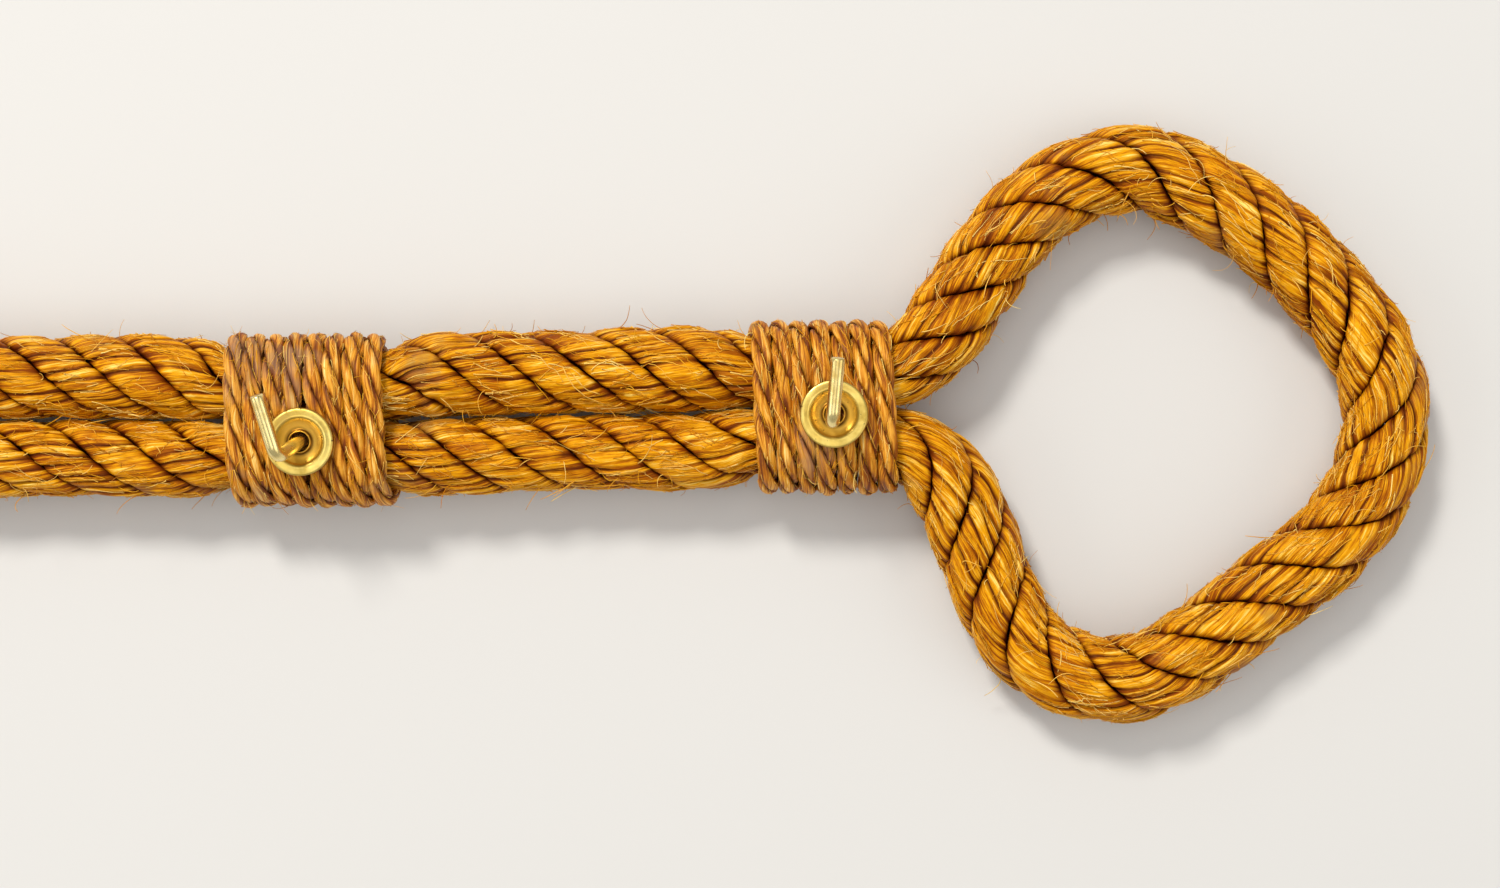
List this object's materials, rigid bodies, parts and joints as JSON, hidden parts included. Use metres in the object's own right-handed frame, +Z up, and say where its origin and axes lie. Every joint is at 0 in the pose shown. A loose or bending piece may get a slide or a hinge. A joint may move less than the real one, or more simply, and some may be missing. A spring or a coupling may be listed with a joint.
{
  "type": "rope hook rack",
  "caption": "Doubled rope rack with an open loop at each end and twine whippings that hold turning square-bend screw hooks.",
  "frame": {"origin": "middle of the rack's box, on the flat surface that it lies on", "axes": "+X along the legs, +Y towards the side that the hooks' arms point to, +Z up out of the face that carries the hooks"},
  "size_m": [0.6266, 0.1343, 0.0427],
  "materials": {
    "rope": "four-strand natural fibre rope, golden tan, dry and hairy",
    "twine": "three-ply natural fibre twine, orange tan with grey-brown soiling",
    "brass_wire": "bright drawn brass wire with a thin dull bloom",
    "brass_disc": "pressed brass, satin, with light tarnish and specks"
  },
  "bodies": {
    "root": {"rope_upper_leg": "rope", "rope_lower_leg": "rope", "rope_left_loop": "rope", "rope_right_loop": "rope", "whipping_1": "twine", "whipping_2": "twine", "whipping_3": "twine", "whipping_4": "twine"},
    "hook_body_1": {"hook_1": "brass_wire"},
    "disc_body_1": {"disc_1": "brass_disc"},
    "hook_body_2": {"hook_2": "brass_wire"},
    "disc_body_2": {"disc_2": "brass_disc"},
    "hook_body_3": {"hook_3": "brass_wire"},
    "disc_body_3": {"disc_3": "brass_disc"},
    "hook_body_4": {"hook_4": "brass_wire"},
    "disc_body_4": {"disc_4": "brass_disc"}
  },
  "joints": [
    {"name": "hook_1_turn", "type": "hinge", "parent": "root", "child": "hook_body_1", "pos_m": [-0.17765, 0.001, 0.0251], "axis": [0.0677, -0.2419, 0.9679], "continuous": true},
    {"name": "disc_1_slide", "type": "slide", "parent": "root", "child": "disc_body_1", "axis": [0.0677, -0.2419, 0.9679], "range_m": [0, 0.0055]},
    {"name": "hook_2_turn", "type": "hinge", "parent": "root", "child": "hook_body_2", "pos_m": [-0.0602, -0.002, 0.0251], "axis": [-0.0833, -0.2924, 0.9527], "continuous": true},
    {"name": "disc_2_slide", "type": "slide", "parent": "root", "child": "disc_body_2", "axis": [-0.0833, -0.2924, 0.9527], "range_m": [0, 0.0055]},
    {"name": "hook_3_turn", "type": "hinge", "parent": "root", "child": "hook_body_3", "pos_m": [0.0602, -0.0041, 0.0251], "axis": [-0.2621, -0.309, 0.9142], "continuous": true},
    {"name": "disc_3_slide", "type": "slide", "parent": "root", "child": "disc_body_3", "axis": [-0.2621, -0.309, 0.9142], "range_m": [0, 0.0055]},
    {"name": "hook_4_turn", "type": "hinge", "parent": "root", "child": "hook_body_4", "pos_m": [0.17765, 0.0019, 0.0251], "axis": [-0.0685, -0.1908, 0.9792], "continuous": true},
    {"name": "disc_4_slide", "type": "slide", "parent": "root", "child": "disc_body_4", "axis": [-0.0685, -0.1908, 0.9792], "range_m": [0, 0.0055]}
  ]
}
